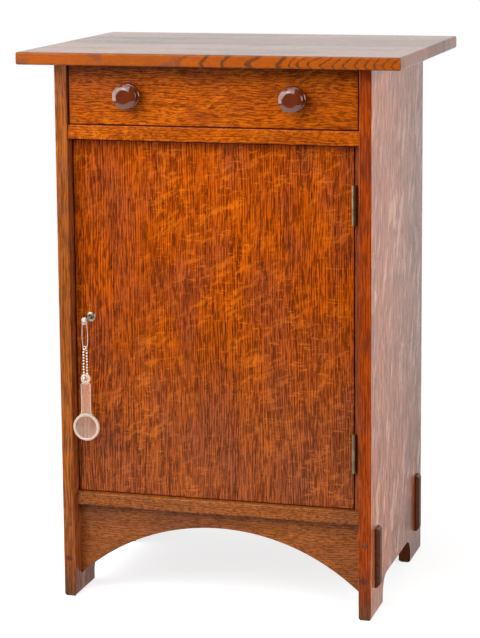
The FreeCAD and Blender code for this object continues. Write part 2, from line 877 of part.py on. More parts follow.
def tails(sign):
    """Dovetails at the front end of a drawer side, as wide as the side is thick."""
    x = sign * (drawer_half - drawer_side_thick)
    pitch = drawer_side_height / tail_count
    parts = []
    for index in range(tail_count):
        z = drawer_side_bottom + (index + 0.5) * pitch
        root = tail_root_width / 2
        end = tail_end_width / 2
        y = drawer_inner_face - tail_length
        points = [V(x, drawer_inner_face, z - root), V(x, drawer_inner_face, z + root), V(x, y, z + end),
                  V(x, y, z - end), V(x, drawer_inner_face, z - root)]
        parts.append(slab(run(points), V(sign * drawer_side_thick, 0, 0)))
    return parts


def drawer_bottom():
    """The bottom, slid into grooves of the front and the sides under the back."""
    reach = drawer_half - drawer_side_thick + drawer_groove_depth
    return block(-reach, reach, drawer_inner_face - drawer_groove_depth, drawer_end,
                 drawer_floor, drawer_floor + drawer_bottom_thick)


def drawer_front():
    """The drawer's front, with sockets for the dovetails, a groove and two knob screw holes."""
    board = block(-drawer_half, drawer_half, drawer_face, drawer_inner_face, drawer_front_bottom,
                  drawer_front_top)
    board = rounded(board, drawer_front_round, lambda b: b.YMax < drawer_face + TOUCH)
    holes = [knob_screw_hole(sign) for sign in (-1, 1)]
    return board.cut(tails(-1) + tails(1) + holes + [drawer_bottom()])


def drawer_back():
    """The back, housed in the sides and standing on the bottom."""
    reach = drawer_half - drawer_side_thick + drawer_groove_depth
    y1 = drawer_end - drawer_back_inset
    return block(-reach, reach, y1 - drawer_back_thick, y1, drawer_floor + drawer_bottom_thick,
                 drawer_side_top - drawer_back_lower)


def drawer_side(sign):
    """A drawer side with dovetails at its front end."""
    board = block(sign * (drawer_half - drawer_side_thick), sign * drawer_half, drawer_inner_face, drawer_end,
                  drawer_side_bottom, drawer_side_top)
    board = board.fuse(tails(sign)).removeSplitter()
    return board.cut([drawer_bottom(), drawer_back()])


def knob(sign):
    """A turned knob: a foot, a waist and a round head with a slightly hollow face."""
    centre = V(sign * knob_spread / 2, drawer_face, knob_z)
    under = knob_projection - knob_head_thick
    middle = knob_projection - knob_head_thick / 2
    stations = [(0, knob_base_radius), (knob_base_height, knob_base_radius),
                ((knob_base_height + under) / 2, knob_neck_radius), (under, knob_dish_radius),
                (middle - knob_rim_thick / 2, knob_radius), (middle + knob_rim_thick / 2, knob_radius),
                (knob_projection - knob_dish_depth, knob_shoulder_radius),
                (knob_projection, knob_dish_radius),
                (knob_projection - knob_dish_depth, knob_neck_radius)]
    return faceted(centre, FORWARD, stations, knob_facets).cut(knob_screw_hole(sign))


def knob_screw_hole(sign):
    start = V(sign * knob_spread / 2, drawer_inner_face, knob_z)
    length = drawer_front_thick + knob_screw_into_knob + knob_screw_clearance
    return prism(start, FORWARD, knob_screw_radius + knob_screw_clearance, length, screw_facets)


def knob_screws():
    """Screws that hold the knobs, with their heads inside the drawer."""
    length = drawer_front_thick + knob_screw_into_knob
    taper = [(0, knob_screw_head_radius), (knob_screw_head_height, knob_screw_head_radius / 2)]
    screws = []
    for sign in (-1, 1):
        seat = V(sign * knob_spread / 2, drawer_inner_face, knob_z)
        head = faceted(seat, BACKWARD, taper, screw_facets)
        shank = prism(seat, FORWARD, knob_screw_radius, length, screw_facets)
        screws.append(head.fuse(shank).removeSplitter())
    return Part.makeCompound(screws)


def assembly():
    """Every piece under its name."""
    pieces = {
        "top_board": top_board().cut(cleat_screw_holes()),
        "left_side": side(-1),
        "right_side": side(1),
        "front_apron": apron(True),
        "rear_apron": apron(False),
        "tenon_pegs": tenon_pegs(),
        "bottom_board": bottom_board(),
        "drawer_rail": drawer_rail(),
        "left_drawer_runner": drawer_runner(-1),
        "right_drawer_runner": drawer_runner(1),
        "left_top_cleat": top_cleat(-1),
        "right_top_cleat": top_cleat(1),
        "cleat_screws": cleat_screws(),
        "shelf": shelf(),
        "left_shelf_cleat": shelf_cleat(-1),
        "right_shelf_cleat": shelf_cleat(1),
        "hinge_strip": hinge_strip(),
        "door_stop": door_stop(),
        "strike_plate": strike_plate(),
        "case_hinge_screws": hinge_screws(1),
        "door_panel": door_panel(),
        "door_hinge_screws": hinge_screws(-1),
        "lock_case": lock_case(),
        "lock_cover": lock_cover(),
        "lock_screws": lock_screws(),
        "keyhole_ring": keyhole_ring(),
        "lock_bolt": lock_bolt(),
        "key": key(),
        "safety_pin": safety_pin(),
        "ball_chain": ball_chain(),
        "magnifier": magnifier(),
        "drawer_front": drawer_front(),
        "drawer_left_side": drawer_side(-1),
        "drawer_right_side": drawer_side(1),
        "drawer_back": drawer_back(),
        "drawer_bottom": drawer_bottom(),
        "left_knob": knob(-1),
        "right_knob": knob(1),
        "knob_screws": knob_screws(),
    }
    for index in range(back_board_count):
        pieces[f"back_board_{index + 1}"] = back_board(index)
    for place, z in hinge_heights.items():
        pieces[f"{place}_case_hinge_leaf"] = hinge_leaf(1, z)
        pieces[f"{place}_door_hinge_leaf"] = hinge_leaf(-1, z)
        pieces[f"{place}_hinge_pin"] = hinge_pin(z)
    return pieces


os.makedirs("parts", exist_ok=True)
for name, shape in assembly().items():
    shape.exportStep(f"parts/{name}.step")
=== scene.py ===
import json
import math

import bmesh
import bpy
from mathutils import Matrix, Vector


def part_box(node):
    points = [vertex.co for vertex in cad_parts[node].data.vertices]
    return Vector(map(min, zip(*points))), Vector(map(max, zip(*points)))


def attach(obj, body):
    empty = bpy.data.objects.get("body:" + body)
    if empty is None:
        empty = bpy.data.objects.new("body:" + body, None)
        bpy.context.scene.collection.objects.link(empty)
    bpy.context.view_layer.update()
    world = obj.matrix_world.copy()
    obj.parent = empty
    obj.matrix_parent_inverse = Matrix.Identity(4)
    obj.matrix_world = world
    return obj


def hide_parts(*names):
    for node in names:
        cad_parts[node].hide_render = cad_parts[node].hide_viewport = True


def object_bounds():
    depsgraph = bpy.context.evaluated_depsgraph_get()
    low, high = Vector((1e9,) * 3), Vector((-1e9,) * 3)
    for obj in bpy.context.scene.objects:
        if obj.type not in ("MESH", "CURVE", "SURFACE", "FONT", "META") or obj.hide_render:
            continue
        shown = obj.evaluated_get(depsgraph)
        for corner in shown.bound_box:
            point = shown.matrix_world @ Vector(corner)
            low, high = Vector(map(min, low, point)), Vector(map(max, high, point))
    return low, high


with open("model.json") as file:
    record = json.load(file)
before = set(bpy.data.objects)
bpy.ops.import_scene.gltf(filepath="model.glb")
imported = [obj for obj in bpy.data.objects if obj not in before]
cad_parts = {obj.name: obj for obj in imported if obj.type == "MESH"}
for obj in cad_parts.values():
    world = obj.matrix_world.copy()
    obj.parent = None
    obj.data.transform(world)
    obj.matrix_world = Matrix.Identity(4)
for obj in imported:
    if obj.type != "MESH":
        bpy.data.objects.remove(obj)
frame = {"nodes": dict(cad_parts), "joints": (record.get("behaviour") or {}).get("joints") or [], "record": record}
cad_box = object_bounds()

# Metres. X runs to the right, Y to the back and Z up from the floor.

joints = {joint["name"]: joint for joint in frame["joints"]}
body_of_node = {node: body
                for body, nodes in frame["record"]["behaviour"]["bodies"].items()
                for node in nodes}


# Node trees


class Shader:
    """The node tree of a material or a world, built one node per call."""

    def __init__(self, owner):
        self.owner = owner
        owner.use_nodes = True
        self.tree = owner.node_tree
        self.tree.nodes.clear()

    def add(self, kind, inputs, **settings):
        made = self.tree.nodes.new(kind)
        for key, value in settings.items():
            setattr(made, key, value)
        for key, value in inputs.items():
            if isinstance(value, bpy.types.NodeSocket):
                self.tree.links.new(value, made.inputs[key])
            else:
                made.inputs[key].default_value = value
        return made

    def sum(self, a, b):
        return self.math("ADD", a, b)

    def times(self, a, b):
        return self.math("MULTIPLY", a, b)

    def math(self, operation, a, b=0.0):
        return self.add("ShaderNodeMath", {0: a, 1: b}, operation=operation).outputs[0]

    def vector(self, x, y, z):
        return self.add("ShaderNodeCombineXYZ", {0: x, 1: y, 2: z}).outputs[0]

    def noise(self, vector, detail=2.0, roughness=0.5):
        """Smooth noise whose features are about one unit across."""
        inputs = {"Vector": vector, "Scale": 1.0, "Detail": detail, "Roughness": roughness}
        return self.add("ShaderNodeTexNoise", inputs).outputs["Fac"]

    def ease(self, value, low, high, start=0.0, end=1.0):
        """A smooth rise from start to end while the value goes from low to high."""
        inputs = {0: value, 1: low, 2: high, 3: start, 4: end}
        return self.add("ShaderNodeMapRange", inputs, interpolation_type="SMOOTHSTEP").outputs[0]

    def mix(self, factor, a, b):
        inputs = {0: factor, 6: color(a), 7: color(b)}
        return self.add("ShaderNodeMix", inputs, data_type="RGBA").outputs[2]

    def bump(self, height, depth, strength):
        inputs = {"Height": height, "Distance": depth, "Strength": strength}
        return self.add("ShaderNodeBump", inputs).outputs[0]

    def place(self):
        """The point's X, Y and Z in the shared frame at rest."""
        coordinates = self.add("ShaderNodeTexCoord", {})
        split = self.add("ShaderNodeSeparateXYZ", {0: coordinates.outputs["Object"]})
        return {"x": split.outputs[0], "y": split.outputs[1], "z": split.outputs[2]}

    def facing(self, axis, way=0):
        """How squarely the surface faces along an axis, from 0 to 1.

        A way of 1 or -1 counts only the faces that look up or down the axis.
        """
        coordinates = self.add("ShaderNodeTexCoord", {})
        split = self.add("ShaderNodeSeparateXYZ", {0: coordinates.outputs["Normal"]})
        part = split.outputs["xyz".index(axis)]
        return self.times(part, way) if way else self.math("ABSOLUTE", part)

    def surface(self, **inputs):
        """The finished surface, with each input under its socket's name."""
        named = {key.replace("_", " ").title().replace("Ior", "IOR"): value for key, value in inputs.items()}
        shader = self.add("ShaderNodeBsdfPrincipled", named)
        self.add("ShaderNodeOutputMaterial", {"Surface": shader.outputs[0]})
        return self.owner


def color(value):
    """A colour for a socket, from three numbers or from another socket."""
    if isinstance(value, bpy.types.NodeSocket):
        return value
    return (*value, 1.0)


# Woods: colours of the dark lines, the body, the ray fleck and the haze

DOOR = {"dark": (0.060, 0.006, 0.001), "mid": (0.560, 0.092, 0.001), "light": (0.740, 0.165, 0.004),
        "haze": (0.300, 0.062, 0.024)}
# The door's colours towards its bottom: painted shade where less light reaches, with a bluer tone that is a
# painted reflection of the floor
DOOR_LOW_SHADE = {"dark": (0.060, 0.011, 0.003), "mid": (0.430, 0.088, 0.010), "light": (0.580, 0.145, 0.016),
             "haze": (0.260, 0.062, 0.026)}
DRAWER = {"dark": (0.095, 0.012, 0.001), "mid": (0.560, 0.110, 0.001), "light": (0.740, 0.185, 0.003),
          "haze": (0.320, 0.062, 0.008)}
EDGE = {"dark": (0.110, 0.036, 0.012), "mid": (0.400, 0.080, 0.001), "light": (0.500, 0.120, 0.003),
        "haze": (0.190, 0.058, 0.024)}
EDGE_CLEAR = {"dark": (0.110, 0.036, 0.012), "mid": (0.430, 0.080, 0.001), "light": (0.520, 0.120, 0.003),
              "haze": (0.390, 0.076, 0.003)}
TOP_FACE = {"dark": (0.150, 0.070, 0.040), "mid": (0.500, 0.200, 0.090), "light": (0.620, 0.280, 0.140),
            "haze": (0.340, 0.140, 0.080)}
BROWN = {"dark": (0.085, 0.018, 0.004), "mid": (0.430, 0.118, 0.018), "light": (0.600, 0.190, 0.030),
         "haze": (0.240, 0.080, 0.034)}
LOW_BROWN = {"dark": (0.090, 0.022, 0.005), "mid": (0.400, 0.110, 0.016), "light": (0.520, 0.170, 0.030),
             "haze": (0.240, 0.078, 0.030)}
RED_BROWN = {"dark": (0.090, 0.010, 0.002), "mid": (0.430, 0.062, 0.002), "light": (0.520, 0.096, 0.006),
             "haze": (0.190, 0.036, 0.014)}
ROSE = {"dark": (0.150, 0.040, 0.014), "mid": (0.720, 0.190, 0.050), "light": (0.850, 0.310, 0.140),
        "haze": (0.420, 0.108, 0.030)}
LEFT_FACE = {"dark": (0.100, 0.024, 0.006), "mid": (0.400, 0.098, 0.012), "light": (0.500, 0.165, 0.036),
             "haze": (0.260, 0.066, 0.016)}
SHADED = {"dark": (0.110, 0.024, 0.006), "mid": (0.330, 0.078, 0.018), "light": (0.400, 0.105, 0.024),
          "haze": (0.200, 0.055, 0.020)}
INSIDE = {"dark": (0.140, 0.060, 0.026), "mid": (0.320, 0.160, 0.070), "light": (0.400, 0.220, 0.100),
          "haze": (0.240, 0.120, 0.060)}
KNOB = {"dark": (0.060, 0.009, 0.003), "mid": (0.150, 0.026, 0.006), "light": (0.190, 0.040, 0.010),
        "haze": (0.100, 0.018, 0.006)}
TENON = {"dark": (0.040, 0.010, 0.003), "mid": (0.120, 0.032, 0.012), "light": (0.160, 0.046, 0.018),
         "haze": (0.090, 0.024, 0.010)}
PEG = {"dark": (0.050, 0.018, 0.010), "mid": (0.140, 0.046, 0.024), "light": (0.200, 0.080, 0.040),
       "haze": (0.110, 0.045, 0.028)}
WORN_PEG = {"dark": (0.090, 0.034, 0.016), "mid": (0.230, 0.082, 0.034), "light": (0.280, 0.110, 0.050),
            "haze": (0.180, 0.070, 0.036)}
WORN_FOOT = {"dark": (0.075, 0.024, 0.012), "mid": (0.230, 0.078, 0.034), "light": (0.280, 0.100, 0.045),
             "haze": (0.150, 0.062, 0.034)}

# Sizes of the marks in metres: across the grain and along it, or along a fleck and across it

RING_SPACING = 0.0032
RING_DRIFT = 1.4
LINE_LENGTH = 0.028
EACH_LINE = (0.0060, 0.400)
BROAD_LINE = (0.0120, 0.150)
PORE = (0.0009, 0.016)
HAZE = (0.050, 0.110)
DASH = (0.016, 0.0028)
RAY = (0.022, 0.0065)
RAY_CURL = 0.012
DASH_CURL = 0.006

# Sizes of the grit and the thin threads as shares of a line's

GRIT = (0.6, 0.3)
THREAD = (0.4, 0.7)

# Scales of the noise, per metre

STREAK_DEPTH = 8.0
WANDER_SCALE = 9.0
CURL_SCALE = (60.0, 20.0, 60.0)
DRIFT_SCALE = (9.0, 7.0, 5.0)
FLECK_DEPTH = 60.0
HAZE_DEPTH = 30.0

# Where a mark sets in on its noise, and in some the weights before and after

LINE_BREAKS = (0.34, 0.54, 0.15, 1.0)
LINE_WEIGHTS = (0.36, 0.60, 0.5, 1.0)
GRIT_BREAKS = (0.36, 0.56, 0.55, 1.0)
FLECK_PATCHES = (0.36, 0.60, 0.35, 1.0)
RING_EDGE = (-0.2, 0.6)
THREAD_EDGE = (0.46, 0.60)
PORE_EDGE = (0.54, 0.66)
BROAD_EDGE = (0.34, 0.62)
DASH_EDGE = (0.60, 0.70)

# Strengths of the marks

THREAD_STRENGTH = 0.8
PORE_STRENGTH = 0.45
LINE_ON_RAY = 0.35

# Finish

CLEAN_SHINE = 0.5
DULL_SHINE = 0.2
SHADED_SHINE = 0.5
PORE_ROUGH = 0.08
LINE_RELIEF = 0.4
FRONT_IOR = 1.28
END_ROUGH = 0.25
GRAIN_DEPTH = 0.00006
SEAM_HALF = 0.0002
SEAM_SEED = 0.5
SEED_ALONG = 1.7
SEED_ACROSS = 2.3
SEED_DEEP = 3.1
ON_EDGE = (0.5, 0.9)
ON_FACE = (0.6, 0.9)


def oak(name, grain, ring, wood, seed, spacing=RING_SPACING, length=LINE_LENGTH, line=0.95,
        broad=0.20, broad_size=BROAD_LINE, slope=0.25, waver=0.030, waver_length=0.45,
        fleck=0.5, fleck_size=RAY, fleck_edge=(0.50, 0.68), edge_fleck=1.0, lean=30.0, dash=0.0,
        haze=0.5, haze_size=HAZE, haze_edge=(0.42, 0.68), edge=1.0, edge_shine=1.0, arches=None,
        seam=None, zones=(), face=None, inner=None, out=1, shades=(), glare=(), varnish=0.20,
        ior=FRONT_IOR, ray_shine=0.2, end_dark=0.6, end_shine=0.4, end_rough=END_ROUGH, relief=0.5):
    """Quarter-sawn oak: dark lines along the grain, set across the ring axis, broken by pale ray fleck.

    The lines slope through the thickness, and waver by a distance over a length. The fleck leans from the
    ring axis by an angle in degrees. The lines and the fleck may fade on the edges that face along the ring
    axis, where arches may show instead. A seam is where two boards are glued, at a place along the ring
    axis. A zone is an axis, two places on it and the colours that take over from the first to the second.
    The outer and the inner broad face may have colours of their own. A shade is an axis, two places on it
    and how much darker the wood gets, and glare is the same for how much of the shine goes.
    """
    s = Shader(bpy.data.materials.new(name))
    place = s.place()
    third = ({"x", "y", "z"} - {grain, ring}).pop()
    shift = seed
    if seam is not None:
        shift = s.ease(place[ring], seam - SEAM_HALF, seam + SEAM_HALF, seed, seed + SEAM_SEED)
    along = s.sum(place[grain], s.times(shift, SEED_ALONG))
    across = s.sum(place[ring], s.times(shift, SEED_ACROSS))
    deep = s.sum(place[third], s.times(shift, SEED_DEEP))

    def streaks(width, long, depth=STREAK_DEPTH, detail=2.0, roughness=0.5):
        """Noise drawn out along the grain, of a width and a length."""
        return s.noise(s.vector(s.times(rings, 1 / width), s.times(deep, depth), s.times(along, 1 / long)),
                       detail, roughness)

    wander = s.noise(s.vector(s.times(across, WANDER_SCALE), s.times(deep, WANDER_SCALE),
                              s.times(along, 1 / waver_length)))
    rings = s.sum(s.sum(across, s.times(deep, slope)), s.times(wander, waver))
    broad_noise = streaks(*broad_size)
    turns = s.times(s.sum(s.times(rings, 1 / spacing), s.times(broad_noise, RING_DRIFT)), 2 * math.pi)
    whole = s.ease(streaks(spacing, length, detail=3.0, roughness=0.6), *LINE_BREAKS)
    each = s.ease(streaks(*EACH_LINE), *LINE_WEIGHTS)
    grit = s.ease(streaks(spacing * GRIT[0], length * GRIT[1]), *GRIT_BREAKS)
    ring_line = s.times(s.times(s.times(s.ease(s.math("SINE", turns), *RING_EDGE), whole), each), grit)
    thread = s.ease(streaks(spacing * THREAD[0], length * THREAD[1]), *THREAD_EDGE)
    lines = s.math("MAXIMUM", ring_line, s.times(thread, THREAD_STRENGTH))
    pore = s.ease(streaks(*PORE, depth=1 / PORE[0], roughness=0.6), *PORE_EDGE)
    broad_mark = s.ease(broad_noise, *BROAD_EDGE, broad, 0.0)
    if edge < 1.0:
        fade = s.ease(s.facing(ring), *ON_EDGE, 1.0, edge)
        lines = s.times(lines, fade)
        broad_mark = s.times(broad_mark, fade)
    if arches:
        lines = s.math("MAXIMUM", lines, s.times(arch_lines(s, place, wander, *arches), s.facing(ring)))

    angle = math.radians(lean)
    inside = (across, deep, along)
    curl = s.noise(s.vector(*[s.times(way, scale) for way, scale in zip(inside, CURL_SCALE)]), 3.0)
    drift = s.noise(s.vector(*[s.times(way, scale) for way, scale in zip(inside, DRIFT_SCALE)]))
    length_wise = s.sum(s.times(across, math.cos(angle)), s.times(along, math.sin(angle)))
    width_wise = s.sum(s.times(across, -math.sin(angle)), s.times(along, math.cos(angle)))
    width_wise = s.sum(width_wise, s.times(curl, RAY_CURL))
    ribbons = s.noise(s.vector(s.times(length_wise, 1 / fleck_size[0]), s.times(deep, FLECK_DEPTH),
                               s.times(width_wise, 1 / fleck_size[1])), 3.0, 0.6)
    dashes = s.noise(s.vector(s.times(across, 1 / DASH[0]), s.times(deep, FLECK_DEPTH),
                              s.times(s.sum(along, s.times(curl, DASH_CURL)), 1 / DASH[1])))
    patchy = s.ease(drift, *FLECK_PATCHES)
    ray = s.times(s.math("MAXIMUM", s.times(s.ease(ribbons, *fleck_edge), fleck),
                         s.times(s.ease(dashes, *DASH_EDGE), dash)), patchy)
    if edge_fleck < 1.0:
        ray = s.times(ray, s.ease(s.facing(ring), *ON_EDGE, 1.0, edge_fleck))
    clouds = s.noise(s.vector(s.times(across, 1 / haze_size[0]), s.times(deep, HAZE_DEPTH),
                              s.times(along, 1 / haze_size[1])), 4.0)

    marks = {"lines": s.times(lines, line), "broad": broad_mark, "ray": ray,
             "pore": s.times(pore, PORE_STRENGTH), "cloud": s.ease(clouds, *haze_edge, 0.0, haze)}
    tint = tone(s, wood, **marks)
    for axis, start, end, colors in zones:
        tint = s.mix(s.ease(place[axis], start, end), tint, tone(s, colors, **marks))
    if face:
        tint = s.mix(s.ease(s.facing(third, out), *ON_FACE), tint, tone(s, face, **marks))
    if inner:
        tint = s.mix(s.ease(s.facing(third, -out), *ON_FACE), tint, tone(s, inner, **marks))
    cut = s.ease(s.facing(grain), *ON_FACE)
    tint = s.mix(s.times(cut, end_dark), tint, wood["dark"])
    dim = 0.0
    for axis, start, end, darker in shades:
        dim = s.sum(dim, s.ease(place[axis], start, end, 0.0, darker))
    tint = s.mix(dim, tint, (0.0, 0.0, 0.0))

    gloss = s.sum(s.sum(varnish, s.times(pore, PORE_ROUGH)), s.times(cut, end_rough))
    dull = s.math("MAXIMUM", s.math("MAXIMUM", marks["lines"], pore), marks["broad"])
    shine = s.sum(s.ease(dull, 0.0, 1.0, CLEAN_SHINE, DULL_SHINE), s.times(ray, ray_shine))
    shine = s.times(shine, s.ease(dim, 0.0, 1.0, 1.0, SHADED_SHINE))
    for axis, start, end, less in glare:
        shine = s.times(shine, s.ease(place[axis], start, end, 1.0, 1.0 - less))
    shine = s.times(shine, s.ease(cut, 0.0, 1.0, 1.0, end_shine))
    shine = s.times(shine, s.ease(s.facing(ring), *ON_EDGE, 1.0, edge_shine))
    height = s.math("MAXIMUM", s.times(lines, LINE_RELIEF), pore)
    return s.surface(base_color=tint, roughness=gloss, ior=ior, specular_ior_level=shine,
                     normal=s.bump(s.times(height, -1.0), GRAIN_DEPTH, relief))


ARCH_SPACING = 0.036
ARCH_CLOSE = 0.019
ARCH_DENSE = 0.160
ARCH_BOW = 1.1
ARCH_TIP = 0.002
ARCH_JAG = 0.010
ARCH_JAG_SCALE = (130.0, 260.0)
ARCH_WAVER = 0.09
ARCH_LINE = (0.60, 0.98)
ARCH_FADE = 0.06


def arch_lines(s, place, wander, start, height):
    """Jagged arched lines on the top's front edge from a start on, closer together at the right end."""
    rise = s.sum(place["z"], -height)
    bow = s.math("SQRT", s.sum(s.times(rise, rise), ARCH_TIP ** 2))
    jag = s.noise(s.vector(s.times(place["x"], ARCH_JAG_SCALE[0]), 0.0,
                           s.times(place["z"], ARCH_JAG_SCALE[1])), 3.0, 0.7)
    shift = s.sum(s.times(bow, -ARCH_BOW), s.sum(s.times(wander, ARCH_WAVER), s.times(jag, ARCH_JAG)))
    run = s.sum(place["x"], shift)
    crowd = s.math("MAXIMUM", s.sum(run, -ARCH_DENSE), 0.0)
    turns = s.times(s.sum(s.times(run, 1 / ARCH_SPACING), s.times(crowd, 1 / ARCH_CLOSE)), 2 * math.pi)
    thin = s.ease(s.math("SINE", turns), *ARCH_LINE)
    return s.times(thin, s.ease(place["x"], start, start + ARCH_FADE))


def tone(s, shades, lines, broad, ray, pore, cloud):
    """The colour of the bare wood where these marks are."""
    tint = s.mix(broad, shades["mid"], shades["dark"])
    tint = s.mix(ray, tint, shades["light"])
    tint = s.mix(cloud, tint, shades["haze"])
    tint = s.mix(s.times(lines, s.ease(ray, 0.0, 1.0, 1.0, LINE_ON_RAY)), tint, shades["dark"])
    return s.mix(pore, tint, shades["dark"])


METAL_BLOTCH = (0.40, 0.62)
METAL_DULLING = 0.1
SCRATCH_FINER = 6
SCRATCH_DEPTH = 0.00001
SCRATCH_STRENGTH = 0.3


def metal(name, tint, worn, roughness, scale=250.0):
    """A metal with blotches of another tone and fine scratches."""
    s = Shader(bpy.data.materials.new(name))
    place = s.place()
    spot = s.noise(s.vector(*[s.times(place[axis], scale) for axis in "xyz"]), 3.0)
    scratch = s.noise(s.vector(*[s.times(place[axis], scale * SCRATCH_FINER) for axis in "xyz"]), 2.0)
    shade = s.mix(s.ease(spot, *METAL_BLOTCH), tint, worn)
    gloss = s.sum(roughness, s.times(spot, METAL_DULLING))
    return s.surface(base_color=shade, metallic=1.0, roughness=gloss,
                     normal=s.bump(scratch, SCRATCH_DEPTH, SCRATCH_STRENGTH))


PLASTIC_CLOUD = 160.0
PLASTIC_GLOSS_EDGE = (0.35, 0.75)
PLASTIC_TINT_EDGE = (0.3, 0.7)
PLASTIC_DULLING = 0.08
PLASTIC_DARKER = 0.94
PLASTIC_IOR = 1.46


def clear_plastic(name, tint, clear, roughness):
    """Moulded plastic, a little cloudy in places, from milky at 0 to clear at 1."""
    s = Shader(bpy.data.materials.new(name))
    place = s.place()
    cloud = s.noise(s.vector(*[s.times(place[axis], PLASTIC_CLOUD) for axis in "xyz"]), 2.0)
    gloss = s.ease(cloud, *PLASTIC_GLOSS_EDGE, roughness, roughness + PLASTIC_DULLING)
    shade = s.mix(s.ease(cloud, *PLASTIC_TINT_EDGE), tint, [part * PLASTIC_DARKER for part in tint])
    return s.surface(base_color=shade, roughness=gloss, transmission_weight=clear, ior=PLASTIC_IOR)


# Meshes


def link(name, mesh, material, node):
    """A new piece that stands for a node and rides on the node's body."""
    if mesh.materials:
        mesh.materials.clear()
    mesh.materials.append(material)
    piece = bpy.data.objects.new(name, mesh)
    bpy.context.scene.collection.objects.link(piece)
    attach(piece, body_of_node[node])
    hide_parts(node)
    return piece


SHARP_ANGLE = math.radians(35.0)
FLAT_ANGLE = math.radians(0.5)
SAME_POINT = 1e-6


def finished(piece, width):
    """Rounds the sharp arrises and shades the rest smoothly."""
    bevel = piece.modifiers.new("arris", "BEVEL")
    bevel.width = width
    bevel.segments = 2
    bevel.limit_method = "ANGLE"
    bevel.angle_limit = SHARP_ANGLE
    piece.data.shade_smooth()
    even = piece.modifiers.new("even", "WEIGHTED_NORMAL")
    even.mode = "FACE_AREA"
    even.weight = 100
    return piece


def cad_copy(node):
    """A node's mesh with its flat faces joined up."""
    mesh = frame["nodes"][node].data.copy()
    work = bmesh.new()
    work.from_mesh(mesh)
    bmesh.ops.remove_doubles(work, verts=work.verts, dist=SAME_POINT)
    bmesh.ops.dissolve_limit(work, angle_limit=FLAT_ANGLE, verts=work.verts, edges=work.edges)
    work.to_mesh(mesh)
    work.free()
    return mesh


def dressed(node, material, arris):
    """A CAD node as it is, with softened arrises and a material."""
    return finished(link(f"{node}_piece", cad_copy(node), material, node), arris)


def new_mesh(name, points, faces):
    mesh = bpy.data.meshes.new(name)
    mesh.from_pydata(points, [], faces)
    work = bmesh.new()
    work.from_mesh(mesh)
    bmesh.ops.recalc_face_normals(work, faces=work.faces)
    work.to_mesh(mesh)
    work.free()
    mesh.shade_smooth()
    return mesh


NO_RADIUS = 1e-7


def lathe(profile, centre, axis, segments=48):
    """Points and faces of a profile of (radius, distance) turned round an axis; radius 0 closes an end."""
    axis = Vector(axis).normalized()
    side = axis.orthogonal().normalized()
    other = axis.cross(side)
    points = []
    faces = []
    rows = []
    for radius, along in profile:
        if radius < NO_RADIUS:
            rows.append([len(points)] * segments)
            points.append(centre + axis * along)
            continue
        rows.append(list(range(len(points), len(points) + segments)))
        for index in range(segments):
            turn = 2 * math.pi * index / segments
            points.append(centre + axis * along + (side * math.cos(turn) + other * math.sin(turn)) * radius)
    for low, high in zip(rows, rows[1:]):
        for index in range(segments):
            following = (index + 1) % segments
            corners = [low[index], low[following], high[following], high[index]]
            faces.append(list(dict.fromkeys(corners)))
    return points, faces


def arc(centre, radius, start, end, steps):
    """Points on a circle in a profile's plane, between two angles in degrees."""
    turns = [math.radians(start + (end - start) * index / steps) for index in range(steps + 1)]
    return [(centre[0] + radius * math.cos(turn), centre[1] + radius * math.sin(turn)) for turn in turns]


def tube(path, radius, sides=12):
    """Points and faces of a round wire along a path."""
    count = len(path)
    points = []
    faces = []
    side = None
    for index, here in enumerate(path):
        before = path[index - 1] if index else here
        after = path[index + 1] if index < count - 1 else here
        way = (after - before).normalized()
        side = way.orthogonal() if side is None else side - way * side.dot(way)
        side.normalize()
        other = way.cross(side)
        for corner in range(sides):
            turn = 2 * math.pi * corner / sides
            points.append(here + (side * math.cos(turn) + other * math.sin(turn)) * radius)
    for index in range(count - 1):
        near = index * sides
        far = near + sides
        for corner in range(sides):
            following = (corner + 1) % sides
            faces.append([near + corner, near + following, far + following, far + corner])
    faces.append(list(range(sides)))
    faces.append(list(range((count - 1) * sides, count * sides)))
    return points, faces


def joined(parts):
    """Several lots of points and faces as one."""
    points = []
    faces = []
    for more_points, more_faces in parts:
        faces += [[corner + len(points) for corner in face] for face in more_faces]
        points += more_points
    return points, faces


# Boards

BOARD_ARRIS = 0.0008
TOP_ARRIS = 0.0004
PEG_ARRIS = 0.0004
STEP_HALF = 0.0002
SIDE_SEAM = 0.052
SEAM_BLEND = 0.0004
SIDE_FLECK = (0.075, 0.0165)
SIDE_LEAN = 68.0
SIDE_IOR = 1.31
SIDE_GLARE = (0.50, 0.12, 0.65)
EDGE_BAND = (0.014, 0.018)
FOOT_WEAR = 0.055
FOOT_SHADE = 0.090
TOP_SEAM = 0.125
TOP_JOINTS = (-0.020, 0.100)
TOP_IOR = 1.38
TOP_CLEAR = (-0.06, 0.02)
ARCH_START = -0.06
ARCH_MIDDLE = 0.35
DOOR_SHADE_FADE = (0.46, 0.18)
# Height of the painted shadow under the top along the drawer's upper edge, and the span where painted shade sets
# in towards the drawer's right end
DRAWER_SHADE = 0.030
DRAWER_RIGHT_SHADE = (0.04, 0.16)
TIP_BLEND = 0.0002
PEG_BLEND = 0.001
PEG_SEED = 0.2
BOARD_SEED = 0.37


def step_at(axis, place, amount):
    """A shade or a glare that sets in at one place on an axis."""
    return (axis, place - STEP_HALF, place + STEP_HALF, amount)


